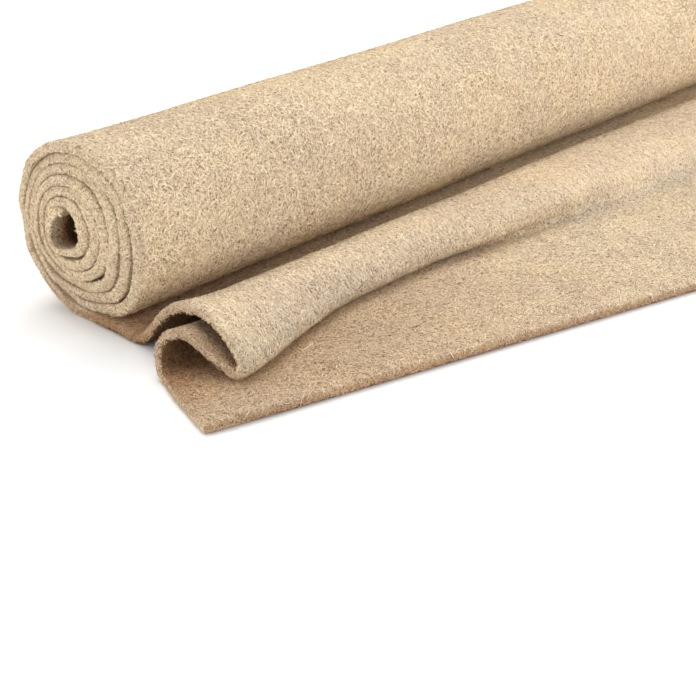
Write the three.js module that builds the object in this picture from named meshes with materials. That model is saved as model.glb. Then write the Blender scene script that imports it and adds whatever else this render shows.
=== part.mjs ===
// A roll of thick natural felt: one cut length, wound up, with its loose end drawn
// out over the surface in an S fold that opens into one soft ridge.
//
// Axes: the roll lies along X with its near end at the low X side, the loose end
// runs out towards -Y, and Z is up from the surface that the roll rests on.
// The solid is one closed surface: a spiral skin, the two wound ends with a step
// and a groove for each turn, the bore, and the loose end at its real thickness.
import * as THREE from 'three';

// Sizes of the felt and the roll, in millimetres.
const WIDTH = 500;            // width of the felt, the length of the roll
const THICK = 4.3;            // thickness of the felt
const PITCH = 4.6;            // felt and the air in it, from one turn to the next
const TURNS = 6.5;            // turns of felt in the roll
const BORE_RADIUS = 5.2;      // radius at the felt's inner end
const AXIS_HIGH = 37.6;       // height of the roll's axis, low enough for a flat spot
const BORE_OUT = -2.2;        // the innermost turns' place out from the axis, a little to the back
const BORE_UP = 1.8;          // and how far above it they lie
const CREVICE = 0.1;          // air between the loose end and the turn that lies on it
const LIES_ON_END = 90;       // degrees of the skin's foot that can lie on the loose end

// The wound ends: the core stands out at the near end and is sunk at the far one.
const CORE_PUSH = 7;          // how far the innermost turn is pushed along the roll
const GROOVE_DEEP = 1.6;      // depth of the groove between two turns
const GROOVE_INNER = 0.2;     // share of a turn's thickness where its end face starts
const GROOVE_OUTER = 0.85;    // and where it stops

// Slight unevenness of the skin along the roll.
const UNEVEN = 0.006;         // as a share of the radius
const UNEVEN_WAVE = 170;      // length of one wave along the roll

// The roll's section: how far each direction is pushed out of round by the felt's
// own weight. angle is in degrees from straight down, by the front and the top.
const SAG = [
  { angle: 0, push: 0.957 },
  { angle: 22, push: 1.03 },
  { angle: 46, push: 1.14 },
  { angle: 66, push: 1.1 },
  { angle: 90, push: 1.035 },
  { angle: 130, push: 1.06 },
  { angle: 165, push: 1.01 },
  { angle: 215, push: 0.985 },
  { angle: 265, push: 0.975 },
  { angle: 300, push: 0.965 },
  { angle: 328, push: 0.93 },
  { angle: 348, push: 0.935 },
  { angle: 360, push: 0.957 },
];

// The loose end in sections across the roll, each at a distance from the near end.
// foot: where the felt leaves the surface. crest, high: top of the ridge. tip: where
// the front face ends and the felt turns under. fall: slope of the front face.
// turn: direction that the felt reaches there, 180 for flat back. bend: radius of
// that turn. leg: straight felt that runs back. curl: radius of the turn forward.
const FOLD = [
  { at: 0, foot: 36, crest: 76, high: 26.2, tip: 101, fall: 50, turn: 208, bend: 2.9, leg: 21, curl: 8.3 },
  { at: 14, foot: 39, crest: 76, high: 24.8, tip: 98.5, fall: 50, turn: 204, bend: 2.9, leg: 21, curl: 7.2 },
  { at: 45, foot: 42, crest: 71, high: 22, tip: 90, fall: 50, turn: 194, bend: 2.8, leg: 20, curl: 5 },
  { at: 90, foot: 42, crest: 66, high: 19.5, tip: 82, fall: 50, turn: 184, bend: 2.7, leg: 17, curl: 3.1 },
  { at: 140, foot: 41, crest: 64, high: 18.3, tip: 82, fall: 48, turn: 180, bend: 2.7, leg: 9, curl: 2.7 },
  { at: 185, foot: 40, crest: 64, high: 17.6, tip: 88, fall: 44, turn: 168, bend: 2.8, leg: 3, curl: 2.8 },
  { at: 225, foot: 39, crest: 63, high: 17, tip: 90, fall: 38, turn: 112, bend: 4, leg: 2, curl: 4 },
  { at: 270, foot: 38, crest: 61, high: 16, tip: 90, fall: 31, turn: 62, bend: 9, leg: 2, curl: 10 },
  { at: 330, foot: 37, crest: 60, high: 14.6, tip: 90, fall: 25, turn: 36, bend: 16, leg: 3, curl: 24 },
  { at: 410, foot: 36, crest: 60, high: 13, tip: 92, fall: 20, turn: 26, bend: 28, leg: 4, curl: 42 },
  { at: 500, foot: 35, crest: 61, high: 11.6, tip: 95, fall: 16, turn: 20, bend: 34, leg: 5, curl: 56 },
];

// How far the felt has slid along the roll where each stretch of a section ends,
// at the near edge and at the far edge, and the steps that the stretch is cut into.
const STRETCH = [
  { name: 'flat', near: -6.3, far: 0, steps: 4 },
  { name: 'rise', near: -9, far: -3, steps: 9 },
  { name: 'fall', near: -11.5, far: -10, steps: 7 },
  { name: 'turn', near: -12.5, far: -12, steps: 6 },
  { name: 'leg', near: -16, far: -14, steps: 3 },
  { name: 'curl', near: -25.5, far: -22, steps: 7 },
  { name: 'front', near: -45, far: -64, steps: 6 },
];
const ROOT_SLIDE = -1.6;      // slide at the near edge where the felt leaves the roll
const ROOT_STRETCH = 0.05;    // share of a turn over which that slide begins
const FRONT_OUT = 115.5;      // front edge at its near corner, out from the axis
const FRONT_SKEW = 15.5;      // degrees between the front edge and the roll
const CORNER_WORN = 1.6;      // how much the near corner is worn back
const CORNER_REACH = 3;       // and how far along the front edge that fades out

// How full the ridge's back and front are: the pull of each end of a curve, as a
// share of the curve's run.
const FOOT_PULL = 1;
const BACK_PULL = 1.75;
const FRONT_PULL = 1.35;
const TIP_PULL = 0.85;

// How finely the surface is cut: steps round one turn of the spiral, and the stations
// along the roll where its section is worked out.
const STEPS_PER_TURN = 36;
const BORE_TO_SKIN = (TURNS + 1) * STEPS_PER_TURN;
const STATIONS = [0, 6, 14, 28, 45, 66, 90, 115, 140, 163, 185, 205, 225, 247, 270, 300, 335, 385, 440, 500];

const DEGREE = Math.PI / 180;
const mix = (a, b, t) => a + (b - a) * t;
const soft = (t) => t * t * (3 - 2 * t);

// A named column of a table at a distance along it, with a smooth change of slope.
function column(table, along, key, at) {
  let row = 0;
  while (row < table.length - 2 && table[row + 1][along] < at) row += 1;
  const here = table[row];
  const next = table[row + 1];
  const before = table[Math.max(row - 1, 0)];
  const after = table[Math.min(row + 2, table.length - 1)];
  const span = next[along] - here[along];
  const slope = (a, b) => (b[along] > a[along] ? (b[key] - a[key]) / (b[along] - a[along]) : 0);
  const t = Math.min(Math.max((at - here[along]) / span, 0), 1);
  const leave = limited(slope(before, here), slope(here, next)) * span;
  const arrive = limited(slope(here, next), slope(next, after)) * span;
  return hermite(here[key], next[key], leave, arrive, t);
}

// The slope at a row, flat at a peak and never steep enough to overshoot.
function limited(a, b) {
  if (a * b <= 0) return 0;
  return (2 * a * b) / (a + b);
}

// A cubic from a to b that leaves with slope m and arrives with slope n.
function hermite(a, b, m, n, t) {
  const t2 = t * t;
  const t3 = t2 * t;
  return (2 * t3 - 3 * t2 + 1) * a + (3 * t2 - 2 * t3) * b + (t3 - 2 * t2 + t) * m + (t3 - t2) * n;
}

// A point of the spiral between two turns: the inner face of the turn at this
// count of turns from the felt's inner end, and the outer face of the one inside it.
function spiral(turn, along) {
  const round = turn - TURNS;
  const angle = (round - Math.floor(round)) * 360;
  const wound = turn / (TURNS + 1);
  const push = 1 + (column(SAG, 'angle', 'push', turn === TURNS + 1 ? 360 : angle) - 1) * wound;
  const uneven = 1 + UNEVEN * wound * Math.sin((along / UNEVEN_WAVE) * 2 * Math.PI + angle * DEGREE);
  const radius = (BORE_RADIUS + PITCH * turn) * push * uneven;
  const out = radius * Math.sin(angle * DEGREE) + BORE_OUT * (1 - wound);
  const high = AXIS_HIGH - radius * Math.cos(angle * DEGREE) + BORE_UP * (1 - wound);
  const liesOnEnd = round >= 0 && round < 1 && angle < LIES_ON_END;
  const lowest = liesOnEnd ? THICK + CREVICE : 0;
  return { out, high: Math.max(high, lowest) };
}

// Where a turn's end face stands along the roll: the core is pushed towards the near
// end, and the last stretch before the loose end has begun to slide out.
function faceAlong(turn, nearEnd) {
  const pushed = CORE_PUSH * (1 - turn / TURNS);
  if (!nearEnd) return WIDTH - pushed;
  return -pushed + ROOT_SLIDE * soft(Math.max(0, 1 - (TURNS - turn) / ROOT_STRETCH));
}

// The middle of the felt in one section of the loose end, as points with the
// direction that the felt runs in and the slide along the roll.
function section(at) {
  const size = {};
  for (const key of ['foot', 'crest', 'high', 'tip', 'fall', 'turn', 'bend', 'leg', 'curl']) {
    size[key] = column(FOLD, 'at', key, at);
  }
  const half = THICK / 2;
  const fall = size.fall * DEGREE;
  const turn = size.turn * DEGREE;
  const turnDrop = size.bend * (Math.cos(fall) - Math.cos(turn));
  const legDrop = size.leg * Math.sin(turn);
  const curlDrop = size.curl * (1 - Math.cos(turn));
  const tip = { out: size.tip, high: half + turnDrop + legDrop + curlDrop };
  const share = at / WIDTH;
  const frontOut = FRONT_OUT + at * Math.sin(FRONT_SKEW * DEGREE);
  const worn = CORNER_WORN * Math.exp(-at / CORNER_REACH);

  // Each stretch gives a point and the slope of the felt for a share t of its length.
  const backRun = size.crest - size.foot;
  const faceRun = size.tip - size.crest;
  const legStart = { out: tip.out + size.bend * (Math.sin(turn) - Math.sin(fall)), high: tip.high - turnDrop };
  const curlStart = { out: legStart.out + size.leg * Math.cos(turn), high: legStart.high - legDrop };
  const landed = curlStart.out + size.curl * Math.sin(turn);
  const path = {
    flat: (t) => [size.foot * t, half, 0],
    rise: (t) => curve(
      [size.foot, half], [size.crest, size.high],
      [FOOT_PULL * backRun, 0], [BACK_PULL * backRun, 0], t),
    fall: (t) => curve(
      [size.crest, size.high], [tip.out, tip.high], [FRONT_PULL * faceRun, 0],
      [TIP_PULL * faceRun * Math.cos(fall), -TIP_PULL * faceRun * Math.sin(fall)], t),
    turn: (t) => {
      const way = mix(fall, turn, t);
      const out = tip.out + size.bend * (Math.sin(way) - Math.sin(fall));
      return [out, tip.high - size.bend * (Math.cos(fall) - Math.cos(way)), -way];
    },
    leg: (t) => [mix(legStart.out, curlStart.out, t), mix(legStart.high, curlStart.high, t), -turn],
    curl: (t) => {
      const way = mix(turn, 0, t);
      const out = curlStart.out + size.curl * (Math.sin(turn) - Math.sin(way));
      return [out, curlStart.high - size.curl * (Math.cos(way) - Math.cos(turn)), -way];
    },
    front: (t) => [mix(landed, frontOut - worn, t), half, 0],
  };
  const points = [];
  let slideNear = ROOT_SLIDE;
  let slideFar = 0;
  for (const stretch of STRETCH) {
    for (let step = points.length ? 1 : 0; step <= stretch.steps; step += 1) {
      const t = step / stretch.steps;
      const [out, high, way] = path[stretch.name](t);
      const slide = mix(mix(slideNear, stretch.near, t), mix(slideFar, stretch.far, t), share);
      points.push({ out, high, way, slide });
    }
    slideNear = stretch.near;
    slideFar = stretch.far;
  }
  return points;
}

// A cubic between two points, with the direction that it runs in, taken from the
// points a hair before and after.
function curve(a, b, leave, arrive, t) {
  const hair = 0.001;
  const at = (s) => [0, 1].map((axis) => hermite(a[axis], b[axis], leave[axis], arrive[axis], s));
  const before = at(Math.max(t - hair, 0));
  const after = at(Math.min(t + hair, 1));
  return [...at(t), Math.atan2(after[1] - before[1], after[0] - before[0])];
}

// Vertices and triangles of the one closed surface.
const positions = [];
const triangles = [];

function addVertex(along, place) {
  positions.push(along, -place.out, Math.max(place.high, 0));
  return positions.length / 3 - 1;
}

function addQuad(a, b, c, d) {
  triangles.push(a, b, c, a, c, d);
}

// The vertices of one wound end. grooves follow the faces between the turns, from
// the bore to the skin, and inner and outer are the two edges of each turn's end face.
function woundEnd(nearEnd) {
  const along = nearEnd ? 0 : WIDTH;
  const deep = nearEnd ? GROOVE_DEEP : -GROOVE_DEEP;
  const grooves = [];
  const inner = [];
  const outer = [];
  for (let step = 0; step <= BORE_TO_SKIN; step += 1) {
    const turn = step / STEPS_PER_TURN;
    const onSkin = turn >= TURNS;
    const inGroove = turn > 1 && !onSkin;
    const face = faceAlong(onSkin ? turn - 1 : turn, nearEnd);
    grooves.push(addVertex(face + (inGroove ? deep : 0), spiral(turn, along)));
  }
  for (let step = 0; step <= BORE_TO_SKIN - STEPS_PER_TURN; step += 1) {
    const turn = step / STEPS_PER_TURN;
    const below = spiral(turn, along);
    const above = spiral(turn + 1, along);
    const across = (share) => ({
      out: mix(below.out, above.out, share),
      high: mix(below.high, above.high, share),
    });
    inner.push(addVertex(faceAlong(turn, nearEnd), across(GROOVE_INNER)));
    outer.push(addVertex(faceAlong(turn, nearEnd), across(GROOVE_OUTER)));
  }
  return { grooves, inner, outer };
}

// The faces of one wound end, turned to look along the roll away from its middle.
function closeWoundEnd({ grooves, inner, outer }, nearEnd) {
  const face = nearEnd ? addQuad : (a, b, c, d) => addQuad(d, c, b, a);
  for (let step = 0; step < inner.length - 1; step += 1) {
    const above = step + STEPS_PER_TURN;
    face(grooves[step], inner[step], inner[step + 1], grooves[step + 1]);
    face(inner[step], outer[step], outer[step + 1], inner[step + 1]);
    face(outer[step], grooves[above], grooves[above + 1], outer[step + 1]);
  }
}

// The two faces of the loose end in one section, half a thickness off its middle.
function looseFaces(at) {
  const upper = [];
  const lower = [];
  for (const { out, high, way, slide } of section(at)) {
    const side = [-Math.sin(way) * THICK * 0.5, Math.cos(way) * THICK * 0.5];
    upper.push(addVertex(at + slide, { out: out + side[0], high: high + side[1] }));
    lower.push(addVertex(at + slide, { out: out - side[0], high: high - side[1] }));
  }
  return { upper, lower };
}

// The outline of the felt at one station: round the skin, out along the underside of
// the loose end and back along its top.
function outline(at, nearEnd, farEnd) {
  const share = at / WIDTH;
  let skin;
  if (at === 0) skin = nearEnd.grooves.slice(-STEPS_PER_TURN - 1);
  else if (at === WIDTH) skin = farEnd.grooves.slice(-STEPS_PER_TURN - 1);
  else {
    skin = [];
    for (let step = 0; step <= STEPS_PER_TURN; step += 1) {
      const turn = TURNS + step / STEPS_PER_TURN;
      const along = mix(faceAlong(turn - 1, true), faceAlong(turn - 1, false), share);
      skin.push(addVertex(along, spiral(turn, at)));
    }
  }
  const { upper, lower } = looseFaces(at);
  upper[0] = skin[0];
  lower[0] = skin[skin.length - 1];
  return { skin, upper, lower, loop: [...skin, ...lower.slice(1), ...upper.slice(1).reverse()] };
}

// The cut edge of the loose end at one side, from its root beside the roll.
function closeLooseEdge({ upper, lower }, { inner, outer }, nearEnd) {
  const face = nearEnd
    ? (a, b, c) => triangles.push(a, b, c)
    : (a, b, c) => triangles.push(c, b, a);
  const root = [upper[0], inner[inner.length - 1], outer[outer.length - 1], lower[0]];
  for (let corner = 0; corner < root.length - 1; corner += 1) {
    face(root[corner], root[corner + 1], upper[1]);
  }
  face(lower[0], lower[1], upper[1]);
  for (let step = 1; step < upper.length - 1; step += 1) {
    face(upper[step], lower[step], lower[step + 1]);
    face(upper[step], lower[step + 1], upper[step + 1]);
  }
}

// The rim of the bore at one end, with the felt's inner cut edge as its one step.
function boreRim({ grooves, inner, outer }) {
  const firstTurn = grooves.slice(0, STEPS_PER_TURN + 1);
  return [...firstTurn, outer[0], inner[0]];
}

function feltRoll() {
  const nearEnd = woundEnd(true);
  const farEnd = woundEnd(false);
  const outlines = STATIONS.map((at) => outline(at, nearEnd, farEnd));
  for (let station = 0; station < outlines.length - 1; station += 1) {
    const here = outlines[station].loop;
    const next = outlines[station + 1].loop;
    for (let corner = 0; corner < here.length; corner += 1) {
      const after = (corner + 1) % here.length;
      addQuad(here[corner], next[corner], next[after], here[after]);
    }
  }
  closeWoundEnd(nearEnd, true);
  closeWoundEnd(farEnd, false);
  closeLooseEdge(outlines[0], nearEnd, true);
  closeLooseEdge(outlines[outlines.length - 1], farEnd, false);
  const nearRim = boreRim(nearEnd);
  const farRim = boreRim(farEnd);
  for (let corner = 0; corner < nearRim.length; corner += 1) {
    const after = (corner + 1) % nearRim.length;
    addQuad(nearRim[corner], nearRim[after], farRim[after], farRim[corner]);
  }

  const geometry = new THREE.BufferGeometry();
  geometry.setAttribute('position', new THREE.Float32BufferAttribute(positions, 3));
  geometry.setIndex(triangles);
  geometry.computeVertexNormals();
  return geometry;
}

const natural = new THREE.MeshStandardMaterial({ color: '#cdb48f', roughness: 0.95, metalness: 0 });
const felt = new THREE.Mesh(feltRoll(), natural);
felt.name = 'felt';

// The origin is on the surface, under the middle of the whole piece.
felt.geometry.computeBoundingBox();
const { min, max } = felt.geometry.boundingBox;
felt.position.set(-(min.x + max.x) / 2, -(min.y + max.y) / 2, -min.z);

const part = new THREE.Group();
part.add(felt);
export default part;
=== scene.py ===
"""A roll of thick natural felt, wound up, with its loose end drawn out in front of it.

The felt is one cut length at its real thickness: six and a half separate turns, then a
loose end that lies flat, rises into a ridge, folds under as an S at the near end and
opens into one soft ridge along the roll. Its matted wool is laid over it as short
closed fibres, and long thin hairs stand out of it.

Lengths are in metres. The roll's own frame has x from the near rim along the roll, out
from under the roll's axis to the front, and high above the surface it lies on.
"""

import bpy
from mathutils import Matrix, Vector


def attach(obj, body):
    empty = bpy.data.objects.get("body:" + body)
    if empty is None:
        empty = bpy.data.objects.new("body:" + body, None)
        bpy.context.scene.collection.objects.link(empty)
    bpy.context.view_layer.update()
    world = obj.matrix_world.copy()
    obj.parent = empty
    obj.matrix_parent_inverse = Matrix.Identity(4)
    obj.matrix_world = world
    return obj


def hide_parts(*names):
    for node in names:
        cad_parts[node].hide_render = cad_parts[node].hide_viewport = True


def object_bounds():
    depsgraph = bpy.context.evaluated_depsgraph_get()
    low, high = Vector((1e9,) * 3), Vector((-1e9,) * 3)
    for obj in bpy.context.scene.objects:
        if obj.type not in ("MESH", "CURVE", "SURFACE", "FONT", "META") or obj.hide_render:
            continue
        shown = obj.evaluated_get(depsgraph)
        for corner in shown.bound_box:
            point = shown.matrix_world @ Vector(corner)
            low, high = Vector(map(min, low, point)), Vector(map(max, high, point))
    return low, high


bl_info = {
    "name": "Roll of Felt",
    "version": (1, 0, 0),
    "blender": (4, 5, 0),
    "location": "View3D > Sidebar > Roll of Felt",
    "description": "Makes a roll of thick natural felt, its matted fibres and its stage",
    "category": "Add Mesh",
}

import bpy
import numpy as np
from bpy.props import FloatProperty, FloatVectorProperty, IntProperty, PointerProperty
from bpy.types import Operator, Panel, PropertyGroup
from mathutils import Matrix, Vector

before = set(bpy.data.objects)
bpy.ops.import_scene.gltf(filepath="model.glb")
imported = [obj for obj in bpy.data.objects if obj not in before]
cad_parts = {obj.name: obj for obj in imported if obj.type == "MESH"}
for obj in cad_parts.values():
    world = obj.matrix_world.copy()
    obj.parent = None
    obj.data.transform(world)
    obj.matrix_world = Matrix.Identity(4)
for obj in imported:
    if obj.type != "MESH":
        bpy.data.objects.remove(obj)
CAD_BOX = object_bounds()

# How far the roll's axis lies from the back of the piece, and how high.
BACK_REACH, AXIS_HIGH = 0.03786, 0.0376

# The spiral that the felt is wound in: its radius at the hole, how far out and up from the
# axis the hole's middle lies, and the least gap between two turns, or between the surface
# and the fibres.
BORE_RADIUS = 0.0052
BORE_OUT, BORE_UP = -0.0022, 0.0018
CREVICE = 0.0001

# The hole has three soft corners, the first of them at this angle. They push it out by
# this share of its radius, and fade over this many turns.
HOLE_CORNERS = 3
HOLE_CORNER_AT = 83.0
HOLE_CORNER_PUSH = 0.14
HOLE_CORNER_FADES = 0.9

# The roll's near end is wider by this share, at this angle, and over this length.
FLARE, FLARE_AT, FLARE_FADES = 0.032, 195.0, 0.035

# Along the roll its radius swings by this share, in waves of this length.
UNEVEN, UNEVEN_WAVE = 0.006, 0.170

# A turn swells to fill its place, up to this much over the felt's thickness.
FULLER = 1.3

# Up to this angle the last turn lies on the loose end.
LIES_ON_END = 90.0

# How far the core stands out at the near end, and is sunk at the far end.
CORE_PUSH = 0.007

# How far each direction of the roll is pushed out of round. Here and above, an angle is in
# degrees from straight down, by the front and the top.
SAG = [
    {"angle": 0, "push": 0.957},
    {"angle": 22, "push": 1.03},
    {"angle": 46, "push": 1.14},
    {"angle": 66, "push": 1.1},
    {"angle": 90, "push": 1.035},
    {"angle": 130, "push": 1.06},
    {"angle": 165, "push": 1.01},
    {"angle": 215, "push": 0.985},
    {"angle": 265, "push": 0.975},
    {"angle": 300, "push": 0.965},
    {"angle": 328, "push": 0.93},
    {"angle": 348, "push": 0.935},
    {"angle": 360, "push": 0.957},
]

# Where two turns stand apart. turn is where the gap is, counted along the inner face of
# the outer of the two, spread is how far it runs to each side, in turns, and gap is how
# wide it opens.
APART = [
    {"turn": 1.55, "spread": 0.11, "gap": 0.0013},
    {"turn": 2.68, "spread": 0.10, "gap": 0.0005},
    {"turn": 3.62, "spread": 0.05, "gap": 0.0012},
    {"turn": 3.78, "spread": 0.06, "gap": 0.0010},
    {"turn": 4.70, "spread": 0.09, "gap": 0.0005},
    {"turn": 5.67, "spread": 0.03, "gap": 0.0012},
    {"turn": 5.76, "spread": 0.06, "gap": 0.0006},
]

# Where a turn's cut edge stands further out at the near end. turn and spread are counted
# along the felt, as in APART, and slide is how far the edge stands out.
STANDS_OUT = [
    {"turn": 6.05, "spread": 0.13, "slide": 0.0022},
    {"turn": 4.40, "spread": 0.20, "slide": 0.0009},
    {"turn": 3.10, "spread": 0.25, "slide": 0.0008},
    {"turn": 0.30, "spread": 0.35, "slide": 0.0010},
]

# The loose end in sections across the roll, each at a distance from the near end.
# foot: where the felt leaves the surface. crest, high: top of the ridge. tip: where the
# front face ends and the felt turns under. fall: slope of the front face, in degrees.
# turn: direction that the felt reaches there, 180 for flat back. bend: radius of that
# turn. leg: straight felt that runs back. curl: radius of the turn forward.
FOLD_COLUMNS = ("at", "foot", "crest", "high", "tip", "fall", "turn", "bend", "leg", "curl")
FOLD_ROWS = [
    (0.000, 0.036, 0.076, 0.0262, 0.1010, 50, 208, 0.0029, 0.021, 0.0083),
    (0.014, 0.039, 0.076, 0.0248, 0.0985, 50, 204, 0.0029, 0.021, 0.0072),
    (0.045, 0.042, 0.071, 0.0220, 0.0900, 50, 194, 0.0028, 0.020, 0.0050),
    (0.090, 0.042, 0.066, 0.0195, 0.0820, 50, 184, 0.0027, 0.017, 0.0031),
    (0.140, 0.041, 0.064, 0.0183, 0.0820, 48, 180, 0.0027, 0.009, 0.0027),
    (0.185, 0.040, 0.064, 0.0176, 0.0880, 44, 168, 0.0028, 0.003, 0.0028),
    (0.225, 0.039, 0.063, 0.0170, 0.0900, 38, 112, 0.0040, 0.002, 0.0040),
    (0.270, 0.038, 0.061, 0.0160, 0.0900, 31, 62, 0.0090, 0.002, 0.0100),
    (0.330, 0.037, 0.060, 0.0146, 0.0900, 25, 36, 0.0160, 0.003, 0.0240),
    (0.410, 0.036, 0.060, 0.0130, 0.0920, 20, 26, 0.0280, 0.004, 0.0420),
    (0.500, 0.035, 0.061, 0.0116, 0.0950, 16, 20, 0.0340, 0.005, 0.0560),
]
FOLD = [dict(zip(FOLD_COLUMNS, row)) for row in FOLD_ROWS]

# How far the felt has slid along the roll where each stretch of a section ends, at the
# near edge and at the far edge, the steps that the stretch is cut into, and its nap and
# painted shade there: its upper face near and far, its lower face and its cut edge. 1 is
# combed and pale. Under 0.5 the wool is painted darker and browner, down to 0, as painted
# shade: in the valley by the roll, in the fold's pocket and hollow, and on the front sheet
# in the fold's shadow, most of all near the near end. The ridge's front face near the near
# end is painted greyer, partly brushed nap and partly painted shade.
STRETCH = [
    {"name": "flat", "near": -0.0063, "far": 0.0, "steps": 7,
     "nap": (0.17, 0.45, 0.0, 0.12)},
    {"name": "rise", "near": -0.0090, "far": -0.003, "steps": 22,
     "nap": (0.95, 0.95, 0.0, 0.36)},
    {"name": "fall", "near": -0.0115, "far": -0.010, "steps": 16,
     "nap": (0.64, 0.97, 0.0, 0.46)},
    {"name": "turn", "near": -0.0125, "far": -0.012, "steps": 12,
     "nap": (0.42, 0.88, 0.18, 0.36)},
    {"name": "leg", "near": -0.0160, "far": -0.014, "steps": 8,
     "nap": (0.04, 0.85, 0.28, 0.28)},
    {"name": "curl", "near": -0.0255, "far": -0.022, "steps": 18,
     "nap": (0.11, 0.56, 0.36, 0.28)},
    {"name": "front", "near": -0.0457, "far": -0.064, "steps": 24,
     "nap": (0.33, 0.48, 0.4, 0.38)},
]

# How brushed the wound felt is, its cut ends, the front edge, and the raised fibres low on
# the roll's front.
ROLL_NAP, END_NAP, FRONT_EDGE_NAP, FUZZ_NAP = 0.5, 0.45, 0.18, 0.4

# The roll's front is painted darker brown at its foot by this value, as painted shade low on
# the roll where it meets the loose end, and is like the rest this many steps further up.
# Over its last steps the roll's cut end takes on the loose end's nap and painted shade.
FOOT_PAINTED_SHADE, FOOT_STEPS, EDGE_STEPS = 0.16, 11, 9

# The near values of STRETCH turn into the far ones over this distance, so that the painted
# shade near the fold fades along the roll.
NAP_AND_SHADE_REACH = 0.29

# Painted shade in the hollow under the fold: there the felt's nap value falls to this share
# of itself, painted darker, from one depth over another.
UNDER_DEEP, UNDER_SEEN, UNDER_DARKENS = 0.15, 0.005, 0.022

# Painted shade in the hole: its wall is painted darker inwards over this depth, on this
# length of felt.
HOLE_DARKENS, HOLE_LENGTH = 0.010, 0.06

# Over its last share of a turn the wound felt slides along the roll by this much.
ROOT_STRETCH, ROOT_SLIDE = 0.05, -0.0016

# The front edge: how far it lies from the roll's axis at the near end, its angle to the
# roll in degrees, and how far its near corner is worn back, over a length along the roll.
FRONT_OUT, FRONT_SKEW = 0.1155, 15.5
CORNER_WORN, CORNER_REACH = 0.0006, 0.003

# How hard the ridge's curves leave the foot, reach the crest, leave it and reach the tip,
# as shares of the distance between them.
FOOT_PULL, BACK_PULL, FRONT_PULL, TIP_PULL = 1.0, 1.75, 1.35, 0.85

# How far the cut edges wave along the roll, on the wound and the loose part, the shortest
# and the longest wave, and how far in from the edge they fade.
WOUND_WAVE, LOOSE_WAVE = 0.0007, 0.0002
EDGE_WAVES, EDGE_WAVES_FADE = (0.015, 0.10), 0.02

# The near cut edge bows out by this much at this length from the front edge, where the fold
# has landed, with a spread to each side, and fades along the roll. Its corner is worn back,
# over a length of the edge.
BOW_OUT, BOW_AT, BOW_SPREAD, BOW_FADES = 0.0013, 0.030, 0.012, 0.03
CORNER_SLIDE, CORNER_ROUND = 0.0005, 0.0025

# The felt's lumps: the shortest and the longest, how high they are on the roll's outer turn
# as a share, and how high off the surface felt lies quite free of it.
LUMP_WAVES, ROLL_LUMPS, LIES_FREE = (0.02, 0.09), 0.5, 0.004

# The mesh of the sheet: the steps round an outer turn, how many turns are cut so, and the
# steps round an inner one. The roll's outer face starts a few steps before its outer turn.
STEPS_PER_TURN, OUTER_TURNS, INNER_STEPS, EXTRA_STEPS = 50, 1.2, 30, 2

# Its stations near the roll's two ends, as distances from the end, and the step between
# the others.
EDGE_STATIONS = np.array([0.0, 0.3, 0.8, 1.5, 2.6, 4.2, 6.5, 9.5, 13.0, 17.5, 22.5]) * 1e-3
STATION_STEP = 0.0063

# This many of them set the fine steps at the felt's two short edges. At the front edge they
# are shares of this length, and start this far past the last even step.
FINE_STEPS, FRONT_LENGTH, FINE_APART = 4, 0.05, 0.02

# How far the cut edge's rounding reaches in, how thin it leaves the edge, as a share, and
# how far the edge bulges out.
EDGE_REACH, EDGE_THIN, EDGE_BULGE = 0.0011, 0.74, 0.0003


def column(table, along, key, at):
    """A named column of a table at distances along it: a cubic between each two rows,
    with slopes that are flat at a peak and never steep enough to overshoot."""
    place = np.array([row[along] for row in table], float)
    value = np.array([row[key] for row in table], float)
    rise = np.diff(value) / np.diff(place)
    before, after = np.append(0.0, rise), np.append(rise, 0.0)
    total = np.where(before * after > 0, before + after, 1.0)
    slope = np.where(before * after > 0, 2 * before * after / total, 0.0)
    row = np.clip(np.searchsorted(place, at, side="right") - 1, 0, len(place) - 2)
    span = place[row + 1] - place[row]
    t = np.clip((at - place[row]) / span, 0, 1)
    return hermite(value[row], value[row + 1], slope[row] * span, slope[row + 1] * span, t)


def hermite(a, b, leave, arrive, t):
    """The cubic from a to b that leaves with one slope and arrives with another."""
    t2, t3 = t * t, t * t * t
    return (
        (2 * t3 - 3 * t2 + 1) * a
        + (3 * t2 - 2 * t3) * b
        + (t3 - 2 * t2 + t) * leave
        + (t3 - t2) * arrive
    )


def mix(a, b, t):
    """A straight mix from a to b."""
    return a + (b - a) * t


def soft(t):
    """A step from 0 to 1 that starts and ends level."""
    t = np.clip(t, 0, 1)
    return t * t * (3 - 2 * t)


def ripples(rng, u, v, shortest, longest, waves=28):
    """A smooth random height of about one unit over two lengths on the felt: the sum of
    plane waves, each with its own direction, length and phase."""
    height = np.zeros(np.broadcast(u, v).shape)
    for _ in range(waves):
        way, phase = rng.uniform(0, 2 * np.pi, 2)
        length = shortest * (longest / shortest) ** rng.uniform()
        height += np.sin((u * np.cos(way) + v * np.sin(way)) * 2 * np.pi / length + phase)
    return height / np.sqrt(waves / 2)


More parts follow.
